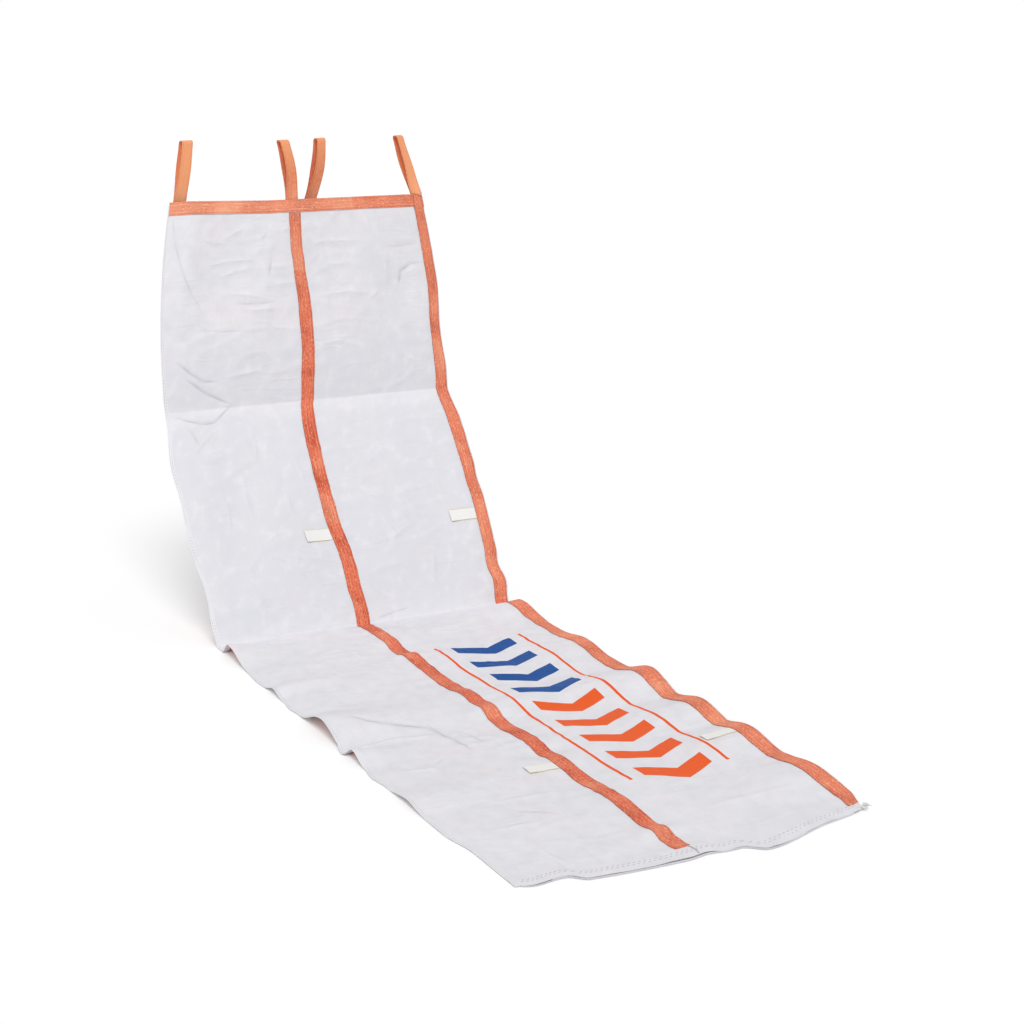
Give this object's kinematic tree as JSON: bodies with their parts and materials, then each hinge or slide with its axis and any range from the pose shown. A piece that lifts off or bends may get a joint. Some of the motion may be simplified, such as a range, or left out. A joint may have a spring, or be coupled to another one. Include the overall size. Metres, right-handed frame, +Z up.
{
  "type": "rubble chute",
  "caption": "Flexible fabric chute: flattened woven tube with sewn webbing straps, hung by webbing loops at the mouth and creased so that its lower half lies along the floor.",
  "frame": {"origin": "over the middle of the mouth, level with the crowns of the four loops that hold the chute", "axes": "+X across the tube, -Y out along the floor towards the outlet, +Z up"},
  "size_m": [0.9261, 2.292, 1.3491],
  "materials": {
    "fabric": "coated woven polypropylene, matt with a slight sheen",
    "webbing": "ribbed polypropylene webbing",
    "tab_tape": "white tape with a yellowish edge",
    "seam": "doubled seam allowance with thread"
  },
  "bodies": {
    "upper_section": {"upper_front_panel": "fabric", "upper_back_panel": "fabric", "upper_left_strap": "webbing", "upper_front_strap": "webbing", "upper_back_strap": "webbing", "upper_right_strap": "webbing", "upper_side_seam": "seam", "mouth_hem_front": "webbing", "mouth_hem_back": "webbing"},
    "middle_section": {"middle_front_panel": "fabric", "middle_back_panel": "fabric", "middle_left_strap": "webbing", "middle_front_strap": "webbing", "middle_back_strap": "webbing", "middle_right_strap": "webbing", "middle_side_seam": "seam"},
    "near_section": {"near_top_panel": "fabric", "near_bottom_panel": "fabric", "near_left_strap": "webbing", "near_front_strap": "webbing", "near_back_strap": "webbing", "near_right_strap": "webbing", "near_side_seam": "seam"},
    "far_section": {"far_top_panel": "fabric", "far_bottom_panel": "fabric", "far_left_strap": "webbing", "far_front_strap": "webbing", "far_back_strap": "webbing", "far_right_strap": "webbing", "far_side_seam": "seam", "outlet_hem_front": "fabric", "outlet_hem_back": "fabric"},
    "left_loop_body": {"left_loop": "webbing"},
    "front_loop_body": {"front_loop": "webbing"},
    "back_loop_body": {"back_loop": "webbing"},
    "right_loop_body": {"right_loop": "webbing"},
    "middle_front_tab_body": {"middle_front_tab": "tab_tape"},
    "middle_right_tab_body": {"middle_right_tab": "tab_tape"},
    "far_front_tab_body": {"far_front_tab": "tab_tape"},
    "far_right_tab_body": {"far_right_tab": "tab_tape"}
  },
  "joints": [
    {"name": "upper_fold", "type": "hinge", "parent": "upper_section", "child": "middle_section", "pos_m": [0, -0.10934, -0.75979], "axis": [-1, 0, 0], "range_deg": [-22, 110]},
    {"name": "floor_fold", "type": "hinge", "parent": "middle_section", "child": "near_section", "pos_m": [0, -0.48786, -1.34267], "axis": [1, 0, 0], "range_deg": [-93, 57]},
    {"name": "end_fold", "type": "hinge", "parent": "near_section", "child": "far_section", "pos_m": [0, -1.35286, -1.35107], "axis": [-1, 0, 0], "range_deg": [-150, 0]},
    {"name": "left_loop_swing", "type": "hinge", "parent": "upper_section", "child": "left_loop_body", "pos_m": [-0.35803, 0.01618, -0.1817], "axis": [1, 0, 0], "range_deg": [-75, 60], "stiffness_Nm_per_rad": 0.1},
    {"name": "front_loop_swing", "type": "hinge", "parent": "upper_section", "child": "front_loop_body", "pos_m": [-0.02107, -0.02583, -0.18212], "axis": [1, 0, 0], "range_deg": [-60, 75], "stiffness_Nm_per_rad": 0.1},
    {"name": "back_loop_swing", "type": "hinge", "parent": "upper_section", "child": "back_loop_body", "pos_m": [0.05306, 0.02315, -0.19164], "axis": [1, 0, 0], "range_deg": [-75, 60], "stiffness_Nm_per_rad": 0.1},
    {"name": "right_loop_swing", "type": "hinge", "parent": "upper_section", "child": "right_loop_body", "pos_m": [0.38379, -0.00769, -0.18565], "axis": [1, 0, 0], "range_deg": [-60, 75], "stiffness_Nm_per_rad": 0.1},
    {"name": "middle_front_tab_flap", "type": "hinge", "parent": "middle_section", "child": "middle_front_tab_body", "pos_m": [-0.06418, -0.34106, -1.10176], "axis": [-0.049, 0.5292, 0.8471], "range_deg": [0, 140]},
    {"name": "middle_right_tab_flap", "type": "hinge", "parent": "middle_section", "child": "middle_right_tab_body", "pos_m": [0.40647, -0.34321, -1.10035], "axis": [0.0064, 0.5396, 0.8419], "range_deg": [0, 140]},
    {"name": "far_front_tab_flap", "type": "hinge", "parent": "far_section", "child": "far_front_tab_body", "pos_m": [-0.06989, -1.69636, -1.33818], "axis": [0.0114, 0.9998, 0.0161], "range_deg": [0, 140]},
    {"name": "far_right_tab_flap", "type": "hinge", "parent": "far_section", "child": "far_right_tab_body", "pos_m": [0.39509, -1.69074, -1.32828], "axis": [0.0019, 0.9789, -0.2045], "range_deg": [0, 140]}
  ]
}
